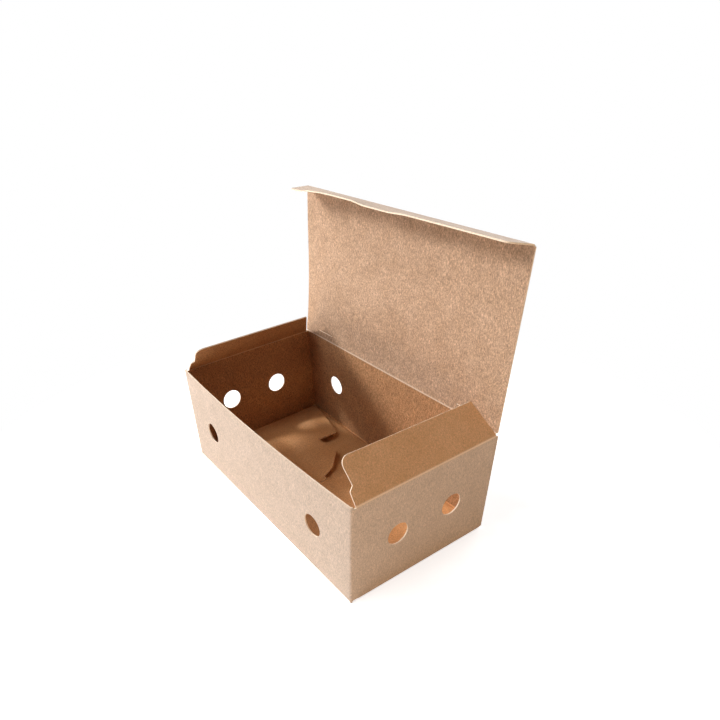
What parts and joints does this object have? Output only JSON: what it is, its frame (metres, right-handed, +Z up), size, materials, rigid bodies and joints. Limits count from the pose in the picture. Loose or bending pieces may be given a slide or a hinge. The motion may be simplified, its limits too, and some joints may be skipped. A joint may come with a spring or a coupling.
{
  "type": "folding carton with vent holes",
  "caption": "Kraft board tuck-top carton with round vent holes, a locked bottom, an open hinged lid with a tuck flap, and two dust flaps.",
  "frame": {"origin": "middle of the footprint of the four walls, on the face that the box stands on", "axes": "+X along the long walls, from the left end to the right end seen from the front, +Y from the front wall to the back wall that carries the lid, +Z up"},
  "size_m": [0.2, 0.1205, 0.1858],
  "materials": {
    "kraft_board": "uncoated, matt, fine mottled fibre"
  },
  "bodies": {
    "carton": {"carton_body": "kraft_board"},
    "lid": {"lid_panel": "kraft_board"},
    "tuck": {"tuck_flap": "kraft_board"},
    "dust_left": {"dust_flap_left": "kraft_board"},
    "dust_right": {"dust_flap_right": "kraft_board"}
  },
  "joints": [
    {"name": "lid_hinge", "type": "hinge", "parent": "carton", "child": "lid", "pos_m": [0, 0.0546, 0.0735], "axis": [1, 0, 0], "range_deg": [-86, 94]},
    {"name": "tuck_fold", "type": "hinge", "parent": "lid", "child": "tuck", "pos_m": [0, 0.06213, 0.18114], "axis": [1, 0, 0], "range_deg": [-13.8, 15.05]},
    {"name": "dust_fold_left", "type": "hinge", "parent": "carton", "child": "dust_left", "pos_m": [-0.0996, 0, 0.0725], "axis": [0, 1, 0], "range_deg": [-54.1, 59.1]},
    {"name": "dust_fold_right", "type": "hinge", "parent": "carton", "child": "dust_right", "pos_m": [0.0996, 0, 0.0725], "axis": [0, -1, 0], "range_deg": [-57.7, 63.1]}
  ],
  "couplings": [
    {"joint": "tuck_fold", "follows": "lid_hinge", "ratio": 0.15957},
    {"joint": "dust_fold_left", "follows": "lid_hinge", "ratio": 0.62766},
    {"joint": "dust_fold_right", "follows": "lid_hinge", "ratio": 0.67021}
  ]
}
